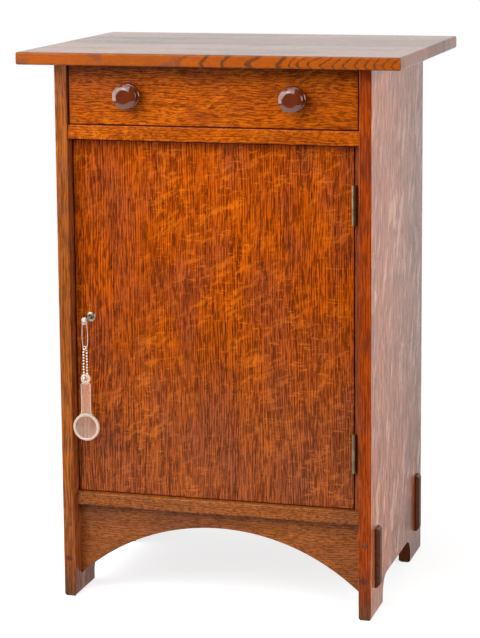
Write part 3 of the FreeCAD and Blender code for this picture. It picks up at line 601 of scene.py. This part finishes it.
def boards():
    """Every wooden board with its own piece of oak."""
    edge_low, edge_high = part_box("top_board")
    side_low, side_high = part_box("right_side")
    drawer_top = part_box("drawer_front")[1].z
    front = side_low.y
    edge_zones = [("z", FOOT_WEAR, 0.0, WORN_FOOT),
                  ("y", front + EDGE_BAND[0], front + EDGE_BAND[1], SHADED)]
    side = dict(grain="z", ring="y", zones=edge_zones, inner=SHADED, spacing=0.0105, length=0.040,
                ray_shine=0.85, line=0.80, broad=0.25, broad_size=(0.024, 0.150), slope=2.8,
                waver=0.020, waver_length=0.16, fleck=1.0, fleck_size=SIDE_FLECK,
                fleck_edge=(0.54, 0.61), edge_fleck=0.3, lean=SIDE_LEAN, seam=SIDE_SEAM,
                haze=0.6, haze_size=(0.050, 0.045),
                # The side darkens towards its back: painted shade. The step at the seam is the rear board's own
                # tone, and the wood is darker towards the floor
                shades=[("y", front, -front, 0.38), ("y", SIDE_SEAM, SIDE_SEAM + SEAM_BLEND, 0.06),
                        ("z", FOOT_SHADE, 0.0, 0.16)],
                glare=[("z", *SIDE_GLARE)], ior=SIDE_IOR)
    tips = [("x", sign * side_high.x, sign * (side_high.x + TIP_BLEND), TENON) for sign in (-1, 1)]
    apron = dict(grain="x", ring="z", wood=LOW_BROWN, zones=tips, line=0.8, length=0.009,
                 fleck=0.4, fleck_size=(0.012, 0.004), lean=70.0,
                 waver=0.030, waver_length=0.15, haze=0.6)
    showing = {
        "top_board": dict(grain="x", ring="y", wood=EDGE, zones=[("x", *TOP_CLEAR, EDGE_CLEAR)],
                          face=TOP_FACE, broad=0.9, broad_size=(0.060, 0.200), fleck=0.3, slope=0.6,
                          edge=0.25, edge_shine=0.45, waver=0.060, waver_length=0.16,
                          haze=0.80, haze_size=(0.050, 0.040), haze_edge=(0.54, 0.64),
                          seam=TOP_SEAM, ior=TOP_IOR,
                          shades=[step_at("y", TOP_JOINTS[0], 0.25), step_at("y", TOP_JOINTS[1], -0.22)],
                          glare=[step_at("y", TOP_JOINTS[0], 0.30), step_at("y", TOP_JOINTS[1], -0.40)],
                          end_dark=0.15, end_shine=1.0, end_rough=0.05,
                          arches=(ARCH_START, edge_low.z * (1 - ARCH_MIDDLE) + edge_high.z * ARCH_MIDDLE)),
        "left_side": dict(wood=BROWN, face=LEFT_FACE, out=-1, **side),
        "right_side": dict(wood=RED_BROWN, face=ROSE, **side),
        "front_apron": apron,
        "rear_apron": apron,
        "bottom_board": dict(grain="x", ring="y", wood=LOW_BROWN, slope=1.0, length=0.008,
                             fleck=0.3, waver=0.012, waver_length=0.12),
        "drawer_rail": dict(grain="x", ring="y", wood=DRAWER, slope=1.0, length=0.009, line=0.85,
                            fleck=0.7, waver=0.012, waver_length=0.10),
        "hinge_strip": dict(grain="z", ring="x", wood=SHADED, fleck=0.2),
        # The door's lower part fades into painted shade towards its bottom
        "door_panel": dict(grain="z", ring="x", wood=DOOR, zones=[("z", *DOOR_SHADE_FADE, DOOR_LOW_SHADE)],
                           fleck=0.7, dash=0.8),
        "drawer_front": dict(grain="x", ring="z", wood=DRAWER, spacing=0.0033, length=0.013, line=0.90,
                             broad=0.22, broad_size=(0.0070, 0.060),
                             fleck=0.8, fleck_size=(0.014, 0.0040), lean=75.0,
                             waver=0.020, waver_length=0.09, haze=0.6,
                             # Painted shadow under the top's overhang along the drawer's top, and a little painted
                             # shade towards its right end
                             shades=[("z", drawer_top - DRAWER_SHADE, drawer_top, 0.45),
                                     ("x", *DRAWER_RIGHT_SHADE, 0.04)]),
    }
    hidden = {
        "left_drawer_runner": ("y", "x"), "right_drawer_runner": ("y", "x"),
        "left_top_cleat": ("y", "x"), "right_top_cleat": ("y", "x"),
        "left_shelf_cleat": ("y", "x"), "right_shelf_cleat": ("y", "x"),
        "shelf": ("x", "y"), "door_stop": ("z", "x"),
        "back_board_1": ("z", "x"), "back_board_2": ("z", "x"), "back_board_3": ("z", "x"),
        "drawer_left_side": ("y", "z"), "drawer_right_side": ("y", "z"),
        "drawer_back": ("x", "z"), "drawer_bottom": ("x", "y"),
    }
    for node, (grain, ring) in hidden.items():
        showing[node] = dict(grain=grain, ring=ring, wood=INSIDE, fleck=0.3, line=0.7, varnish=0.5)
    for index, (node, settings) in enumerate(showing.items()):
        arris = TOP_ARRIS if node == "top_board" else BOARD_ARRIS
        dressed(node, oak(f"oak_{node}", seed=BOARD_SEED * (index + 1), **settings), arris)
    peg_low, peg_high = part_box("tenon_pegs")
    peg_middle = (peg_low.z + peg_high.z) / 2
    worn = [("z", peg_middle - PEG_BLEND, peg_middle + PEG_BLEND, WORN_PEG)]
    wood = oak("oak_pegs", "y", "x", PEG, PEG_SEED, fleck=0.0, zones=worn, end_dark=0.2)
    dressed("tenon_pegs", wood, PEG_ARRIS)


# Knobs

KNOB_FOOT = [(0.0, 0.0), (0.0090, 0.0), (0.0090, 0.0012), (0.0084, 0.0022), (0.0086, 0.0032)]
KNOB_COLLAR = (0.0140, 0.0064)
KNOB_COLLAR_ROUND = 0.0029
KNOB_COLLAR_ARC = (-105, 95, 14)
KNOB_COVE = [(0.0124, 0.0098), (0.0114, 0.0112), (0.0112, 0.0128), (0.0118, 0.0148), (0.0130, 0.0165)]
KNOB_RIM = (0.0144, 0.0192)
KNOB_RIM_ROUND = 0.0019
KNOB_RIM_ARC = (-85, 45, 9)
KNOB_BEVEL = (0.0024, 0.0048)
KNOB_BEVEL_ROUND = 0.0206
KNOB_BEVEL_ARC = (50, 69, 8)
KNOB_CREST = (0.0091, 0.0232)
KNOB_CREST_ROUND = 0.0010
KNOB_CREST_ARC = (75, 94, 4)
KNOB_FACE = [(0.0080, 0.02415), (0.0060, 0.0241), (0.0, 0.0240)]
KNOB_SIDES = 64
KNOB_IOR = 1.75
KNOB_SEED = 0.61


def knob(node):
    """A turned knob: a foot, a collar, a cove, and a head with a bevel round a nearly flat middle."""
    low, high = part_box(node)
    centre = Vector(((low.x + high.x) / 2, high.y, (low.z + high.z) / 2))
    collar = arc(KNOB_COLLAR, KNOB_COLLAR_ROUND, *KNOB_COLLAR_ARC)
    rim = arc(KNOB_RIM, KNOB_RIM_ROUND, *KNOB_RIM_ARC)
    bevel = arc(KNOB_BEVEL, KNOB_BEVEL_ROUND, *KNOB_BEVEL_ARC)
    crest = arc(KNOB_CREST, KNOB_CREST_ROUND, *KNOB_CREST_ARC)
    profile = KNOB_FOOT + collar + KNOB_COVE + rim + bevel + crest + KNOB_FACE
    mesh = new_mesh(node, *lathe(profile, centre, (0, -1, 0), KNOB_SIDES))
    wood = oak(f"oak_{node}", "y", "x", KNOB, KNOB_SEED + centre.x, line=0.3, fleck=0.0, varnish=0.05,
               ior=KNOB_IOR, end_dark=0.1, end_shine=1.0, end_rough=0.0, relief=0.0)
    link(f"{node}_turned", mesh, wood, node)


# Lock, key and keyhole ring

RING_HOLE = 0.40
RING_SPIGOT = 0.62
RING_THROAT = 0.8
RING_LIP = 0.0006
SHEET_ARRIS = 0.0002
FINE_ARRIS = 0.00015


def keyhole_ring(bronze):
    """A domed ring with a round hole, and its spigot in the door."""
    low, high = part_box("keyhole_ring")
    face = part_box("door_panel")[0].y
    radius = (high.x - low.x) / 2
    centre = Vector(((low.x + high.x) / 2, face, (low.z + high.z) / 2))
    dome = face - low.y
    depth = high.y - face
    hole = radius * RING_HOLE
    spigot = radius * RING_SPIGOT
    crown = hole + RING_LIP
    profile = [(hole, -depth), (spigot, -depth), (spigot, 0.0), (radius, 0.0)]
    profile += [(crown + (radius - crown) * math.cos(turn), dome * math.sin(turn))
                for turn in [math.radians(10 * step) for step in range(1, 10)]]
    profile += [(hole, dome * RING_THROAT), (hole, -depth)]
    mesh = new_mesh("keyhole_ring", *lathe(profile, centre, (0, -1, 0)))
    link("keyhole_ring_turned", mesh, bronze, "keyhole_ring")


def fittings():
    """Hinges, lock, key and screws."""
    brass = metal("aged_brass", (0.27, 0.215, 0.13), (0.19, 0.15, 0.085), 0.32, 70.0)
    bronze = metal("ring_bronze", (0.40, 0.35, 0.25), (0.24, 0.20, 0.13), 0.26)
    steel = metal("steel", (0.42, 0.40, 0.37), (0.22, 0.20, 0.18), 0.30)
    nickel = metal("key_nickel", (0.96, 0.90, 0.80), (0.84, 0.77, 0.66), 0.42)
    for place in ("upper", "lower"):
        for piece in ("case_hinge_leaf", "door_hinge_leaf", "hinge_pin"):
            dressed(f"{place}_{piece}", brass, SHEET_ARRIS)
    dressed("strike_plate", brass, SHEET_ARRIS)
    for node in ("lock_case", "lock_cover", "lock_bolt", "lock_screws", "cleat_screws", "knob_screws",
                 "case_hinge_screws", "door_hinge_screws"):
        dressed(node, steel, FINE_ARRIS)
    dressed("key", nickel, FINE_ARRIS)
    keyhole_ring(bronze)


# What hangs on the key


def point_of(joint):
    """Where a joint's axis goes through."""
    return Vector(joints[joint]["pos_m"])


PIN_WIRE = 0.0006
PIN_COIL = 0.0026
PIN_BOW = 0.0013
COIL_RISE = 0.0005
COIL_STEPS = 32
LEG_STEPS = 12
LEG_LAP = 0.003
CAP_SHEET = 0.0030
CAP_DROP = 0.0060
CAP_HALF = 0.0040
CAP_TAPER = 0.9
CAP_CORNER = 0.0028
CAP_STEPS = 8
CAP_ARRIS = 0.0009


def safety_pin(plated):
    """A folded cap, two legs and a wire coil at the bottom."""
    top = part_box("safety_pin")[1].z
    eye = point_of("pin_swing")
    coil = point_of("chain_swing")
    cap_low = eye.z - CAP_DROP
    leg_top = cap_low + LEG_LAP
    legs = []
    for sign in (-1, 1):
        path = []
        for step in range(LEG_STEPS + 1):
            share = step / LEG_STEPS
            out = PIN_COIL + PIN_BOW * math.sin(math.pi * share)
            path.append(Vector((coil.x + sign * out, coil.y, leg_top + (coil.z - leg_top) * share)))
        legs.append(tube(path, PIN_WIRE))
    turns = [Vector((coil.x + PIN_COIL * math.cos(turn), coil.y + COIL_RISE * (turn / math.pi - 1),
                     coil.z + PIN_COIL * math.sin(turn)))
             for turn in [2 * math.pi * step / COIL_STEPS for step in range(COIL_STEPS + 1)]]
    wire = new_mesh("safety_pin_wire", *joined(legs + [tube(turns, PIN_WIRE)]))
    link("safety_pin_wire", wire, plated, "safety_pin")
    outline = [(-CAP_HALF, cap_low), (CAP_HALF * CAP_TAPER, cap_low)]
    outline += arc((CAP_HALF - CAP_CORNER, top - CAP_CORNER), CAP_CORNER, 0, 90, CAP_STEPS)
    outline += arc((CAP_CORNER - CAP_HALF, top - CAP_CORNER), CAP_CORNER, 90, 180, CAP_STEPS)
    front = [Vector((eye.x + x, eye.y - CAP_SHEET / 2, z)) for x, z in outline]
    back = [point + Vector((0, CAP_SHEET, 0)) for point in front]
    count = len(front)
    faces = [list(range(count)), list(range(count, 2 * count))]
    for index in range(count):
        following = (index + 1) % count
        faces.append([index, following, count + following, count + index])
    cap = link("safety_pin_cap", new_mesh("safety_pin_cap", front + back, faces), plated, "safety_pin")
    finished(cap, CAP_ARRIS)


BEAD = 0.0013
LINK = 0.0004
CHAIN_GAP = 0.0065
CHAIN_TURN = math.radians(-67.0)
BEAD_COUNT = 23
BEAD_STEPS = 10
BEAD_SIDES = 16
LINK_SIDES = 8


def chain_loop():
    """Centres of the beads round the chain's loop, from the coil to the eyelet and back."""
    top = point_of("chain_swing")
    drop = top.z - point_of("magnifier_swing").z
    radius = CHAIN_GAP / 2
    straight = drop - 2 * radius
    half = straight + math.pi * radius
    places = []
    for index in range(BEAD_COUNT):
        distance = 2 * half * index / BEAD_COUNT
        along = distance % half
        if along < straight:
            across, fall = radius, radius + along
        else:
            turn = (along - straight) / radius
            across, fall = radius * math.cos(turn), radius + straight + radius * math.sin(turn)
        if distance >= half:
            across, fall = -across, drop - fall
        places.append(top + Vector((across * math.cos(CHAIN_TURN), -across * math.sin(CHAIN_TURN), -fall)))
    return places


def ball_chain(plated, dark):
    """Hollow beads on short wire links."""
    places = chain_loop()
    beads = []
    links = []
    ball = [(BEAD * math.sin(turn), -BEAD * math.cos(turn))
            for turn in [math.pi * step / BEAD_STEPS for step in range(BEAD_STEPS + 1)]]
    for here, following in zip(places, places[1:] + places[:1]):
        beads.append(lathe(ball, here, following - here, BEAD_SIDES))
        links.append(tube([here, following], LINK, LINK_SIDES))
    link("ball_chain_beads", new_mesh("ball_chain_beads", *joined(beads)), plated, "ball_chain")
    link("ball_chain_links", new_mesh("ball_chain_links", *joined(links)), dark, "ball_chain")


LENS_GAP = 0.0001
LENS_EDGE = 0.001
LENS_BULGE = 0.0014
LENS_STEPS = 8
LENS_SIDES = 64
RIM_HALF = 0.0025
RIM_WIDTH = 0.0034
RIM_ROUND = 0.0016
RIM_STEPS = 6
RIM_SLOPE = 0.0008
EYELET_OUTER = 0.0068
EYELET_HOLE = 0.0026
EYELET_HALF = 0.0010
EYELET_ROUND = 0.0006
EYELET_STEPS = 4
EYELET_SIDES = 40
HANDLE_ARRIS = 0.0004


def rounded_band(hole, outer, half, inner_half, corner, steps):
    """The profile of a flat ring with a rounded outer edge."""
    low = arc((outer - corner, corner - half), corner, 270, 360, steps)
    high = arc((outer - corner, half - corner), corner, 0, 90, steps)
    return [(hole, -inner_half)] + low + high + [(hole, inner_half), (hole, -inner_half)]


def magnifier(clear, milky, panel):
    """A clear eyelet and handle, and a lens in a thick rim."""
    low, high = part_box("magnifier")
    eyelet = point_of("magnifier_swing")
    outer = (high.x - low.x) / 2
    lens = Vector((eyelet.x, eyelet.y, low.z + outer))
    inner = outer - RIM_WIDTH
    rim = rounded_band(inner, outer, RIM_HALF, RIM_HALF - RIM_SLOPE, RIM_ROUND, RIM_STEPS)
    ring = rounded_band(EYELET_HOLE, EYELET_OUTER, EYELET_HALF, EYELET_HALF, EYELET_ROUND, EYELET_STEPS)
    glass = [((inner - LENS_GAP) * math.sin(turn), -LENS_EDGE - LENS_BULGE * math.cos(turn) ** 2)
             for turn in [math.pi / 2 * step / LENS_STEPS for step in range(LENS_STEPS + 1)]]
    glass += [(radius, -along) for radius, along in reversed(glass)]
    back = (0, 1, 0)
    parts = [lathe(rim, lens, back, LENS_SIDES), lathe(ring, eyelet, back, EYELET_SIDES)]
    link("magnifier_rim", new_mesh("magnifier_rim", *joined(parts)), milky, "magnifier")
    mesh = new_mesh("magnifier_lens", *lathe(glass, lens, back, LENS_SIDES))
    link("magnifier_lens", mesh, clear, "magnifier")
    handle = link("magnifier_handle", handle_mesh(eyelet, lens, outer), milky, "magnifier")
    handle.data.materials.append(panel)
    finished(handle, HANDLE_ARRIS)


HANDLE_HALF = 0.0067
HANDLE_THICK = 0.0030
HANDLE_BORDER = 0.0008
HANDLE_RECESS = 0.0006
HANDLE_FLARE = 0.0030
FLARE_LENGTH = 0.0075
FLARE_STEPS = 6
SHOULDER_CUT = 0.0012
SHOULDER_TOP = 0.0062
SHOULDER_FOOT = 0.0074
NECK_HALF = 0.0045
NECK_STEPS = 4


def handle_mesh(eyelet, lens, outer):
    """The flat handle from the eyelet to the rim, flared at the rim, with a sunk panel on both faces."""
    hug = outer + LENS_GAP
    crown = EYELET_OUTER + LENS_GAP
    foot_half = HANDLE_HALF + HANDLE_FLARE
    foot = lens.z + math.sqrt(hug ** 2 - foot_half ** 2)
    necks = [NECK_HALF * step / NECK_STEPS for step in range(NECK_STEPS + 1)]
    half = [(x, eyelet.z - math.sqrt(crown ** 2 - x ** 2)) for x in necks]
    half += [(HANDLE_HALF - SHOULDER_CUT, eyelet.z - SHOULDER_TOP), (HANDLE_HALF, eyelet.z - SHOULDER_FOOT)]
    shares = [step / FLARE_STEPS for step in range(FLARE_STEPS + 1)]
    half += [(HANDLE_HALF + HANDLE_FLARE * share ** 2, foot + FLARE_LENGTH * (1 - share))
             for share in shares]
    bases = [foot_half * (1 - share) for share in shares[1:]]
    half += [(x, lens.z + math.sqrt(hug ** 2 - x ** 2)) for x in bases]
    outline = half + [(-x, z) for x, z in reversed(half[1:-1])]
    work = bmesh.new()
    depths = [eyelet.y + side * HANDLE_THICK / 2 for side in (-1, 1)]
    front, back = [[work.verts.new((eyelet.x + x, depth, z)) for x, z in outline] for depth in depths]
    panels = [work.faces.new(front), work.faces.new(back)]
    for index in range(len(outline)):
        following = (index + 1) % len(outline)
        work.faces.new([front[index], front[following], back[following], back[index]])
    bmesh.ops.recalc_face_normals(work, faces=work.faces)
    bmesh.ops.inset_individual(work, faces=panels, thickness=HANDLE_BORDER, depth=-HANDLE_RECESS)
    for face in panels:
        face.material_index = 1
    mesh = bpy.data.meshes.new("magnifier_handle")
    work.to_mesh(mesh)
    work.free()
    return mesh


def fob():
    """The pin, the chain and the magnifier, with their materials."""
    plated = metal("plated", (0.96, 0.88, 0.76), (0.84, 0.74, 0.60), 0.40)
    wire = metal("dull_wire", (0.45, 0.42, 0.38), (0.25, 0.22, 0.20), 0.40)
    clear = clear_plastic("clear_lens", (0.98, 0.76, 0.60), 0.86, 0.02)
    milky = clear_plastic("milky_rim", (0.99, 0.85, 0.70), 0.56, 0.06)
    panel = clear_plastic("tinted_handle", (0.98, 0.62, 0.42), 0.76, 0.04)
    pin_metal = metal("pin_nickel", (0.80, 0.68, 0.58), (0.58, 0.48, 0.40), 0.34)
    safety_pin(pin_metal)
    ball_chain(plated, wire)
    magnifier(clear, milky, panel)


# Stage

FLOOR_RADIUS = 1.4
FLOOR_NEAR = 0.55
FLOOR_WHITE = 0.45
FLOOR_LIFT = 0.78
FLOOR_DROP = -0.0003
FLOOR_SIDES = 96
WHITE = (1.0, 1.0, 1.0, 1.0)


def background(s):
    """1 for rays that see the background as it looks, from the eye or off and through shiny things."""
    path = s.add("ShaderNodeLightPath", {})
    seen = s.math("MAXIMUM", path.outputs["Is Camera Ray"], path.outputs["Is Transmission Ray"])
    return seen, path.outputs["Is Glossy Ray"]


def floor():
    """A pale floor that keeps the shadow and runs into the white background further out."""
    s = Shader(bpy.data.materials.new("floor_pale"))
    seen, glossy = background(s)
    place = s.place()
    far = s.math("SQRT", s.sum(s.times(place["x"], place["x"]), s.times(place["y"], place["y"])))
    merge = s.ease(far, FLOOR_NEAR, FLOOR_RADIUS)
    lift = s.times(s.math("MAXIMUM", seen, glossy), s.ease(merge, 0.0, 1.0, FLOOR_LIFT, 1.0))
    matt = s.add("ShaderNodeBsdfDiffuse", {"Color": s.mix(merge, [FLOOR_WHITE] * 3, [0.0] * 3)})
    glow = s.add("ShaderNodeEmission", {"Color": WHITE, "Strength": lift})
    both = s.add("ShaderNodeAddShader", {0: matt.outputs[0], 1: glow.outputs[0]})
    s.add("ShaderNodeOutputMaterial", {"Surface": both.outputs[0]})
    disc = [(0.0, 0.0), (FLOOR_RADIUS, 0.0)]
    mesh = new_mesh("floor", *lathe(disc, Vector((0, 0, FLOOR_DROP)), (0, 0, 1), FLOOR_SIDES))
    mesh.materials.append(s.owner)
    plane = bpy.data.objects.new("floor", mesh)
    bpy.context.scene.collection.objects.link(plane)


ROOM_AMBIENT = 0.24
ROOM_FRONT = 0.03
ROOM_TURN = (-0.2, 0.4)


def surroundings():
    """A white backdrop behind the object and a dim room in front of it."""
    world = bpy.data.worlds.new("studio")
    bpy.context.scene.world = world
    s = Shader(world)
    seen, glossy = background(s)
    coordinates = s.add("ShaderNodeTexCoord", {})
    split = s.add("ShaderNodeSeparateXYZ", {0: coordinates.outputs["Generated"]})
    backdrop = s.ease(split.outputs[1], *ROOM_TURN, ROOM_FRONT, 1.0)
    reflected = s.add("ShaderNodeMix", {0: glossy, 2: ROOM_AMBIENT, 3: backdrop}).outputs[0]
    strength = s.math("MAXIMUM", reflected, seen)
    light = s.add("ShaderNodeBackground", {"Color": WHITE, "Strength": strength})
    s.add("ShaderNodeOutputWorld", {"Surface": light.outputs[0]})


LAMP_AIM = 0.55


def lamp(name, azimuth, elevation, distance, size, watts, tall=1.0):
    """A soft box that looks at the cabinet's middle; azimuth 0 is in front and 90 on the right."""
    data = bpy.data.lights.new(name, "AREA")
    data.shape = "RECTANGLE"
    data.size = size
    data.size_y = size * tall
    data.energy = watts
    box = bpy.data.objects.new(name, data)
    turn = math.radians(azimuth)
    rise = math.radians(elevation)
    way = Vector((math.sin(turn) * math.cos(rise), -math.cos(turn) * math.cos(rise), math.sin(rise)))
    middle = Vector((0.0, 0.0, cad_box[1].z * LAMP_AIM))
    box.location = middle + way * distance
    box.rotation_mode = "QUATERNION"
    box.rotation_quaternion = way.to_track_quat("Z", "Y")
    bpy.context.scene.collection.objects.link(box)


# The photograph's camera, from its corners

PHOTO_WIDTH = 480
PHOTO_HEIGHT = 638
FOCAL_PIXELS = 2202.4
CAMERA_PLACE = Vector((0.8053, -2.8515, 0.9577))
CAMERA_YAW = math.radians(15.92)
CAMERA_PITCH = math.radians(9.26)
CAMERA_ROLL = math.radians(0.455)
CAMERA_SHIFT = -0.13
SENSOR = 36.0
FAR_CLIP = 50.0


def camera():
    """The camera that was fitted to the photograph."""
    data = bpy.data.cameras.new("camera")
    data.sensor_width = SENSOR
    data.lens = FOCAL_PIXELS / max(PHOTO_WIDTH, PHOTO_HEIGHT) * SENSOR
    data.shift_y = CAMERA_SHIFT
    data.clip_end = FAR_CLIP
    eye = bpy.data.objects.new("camera", data)
    level = math.cos(CAMERA_PITCH)
    forward = Vector((-math.sin(CAMERA_YAW) * level, math.cos(CAMERA_YAW) * level, -math.sin(CAMERA_PITCH)))
    right = Vector((math.cos(CAMERA_YAW), math.sin(CAMERA_YAW), 0.0))
    right.rotate(Matrix.Rotation(CAMERA_ROLL, 3, forward))
    up = right.cross(forward)
    turn = Matrix((right, up, -forward)).transposed()
    eye.matrix_world = Matrix.Translation(CAMERA_PLACE) @ turn.to_4x4()
    bpy.context.scene.collection.objects.link(eye)
    bpy.context.scene.camera = eye


boards()
knob("left_knob")
knob("right_knob")
fittings()
fob()
floor()
surroundings()
lamp("key", azimuth=-32.0, elevation=28.0, distance=1.8, size=1.3, watts=22.5)
lamp("front_fill", azimuth=-10.0, elevation=44.0, distance=2.4, size=1.6, watts=24.0)
lamp("right_fill", azimuth=70.0, elevation=14.0, distance=2.4, size=1.2, watts=30.0)
lamp("left_strip", azimuth=-76.0, elevation=14.0, distance=1.8, size=1.3, watts=27.0, tall=1.4)
camera()
bpy.context.scene.view_settings.view_transform = "Standard"
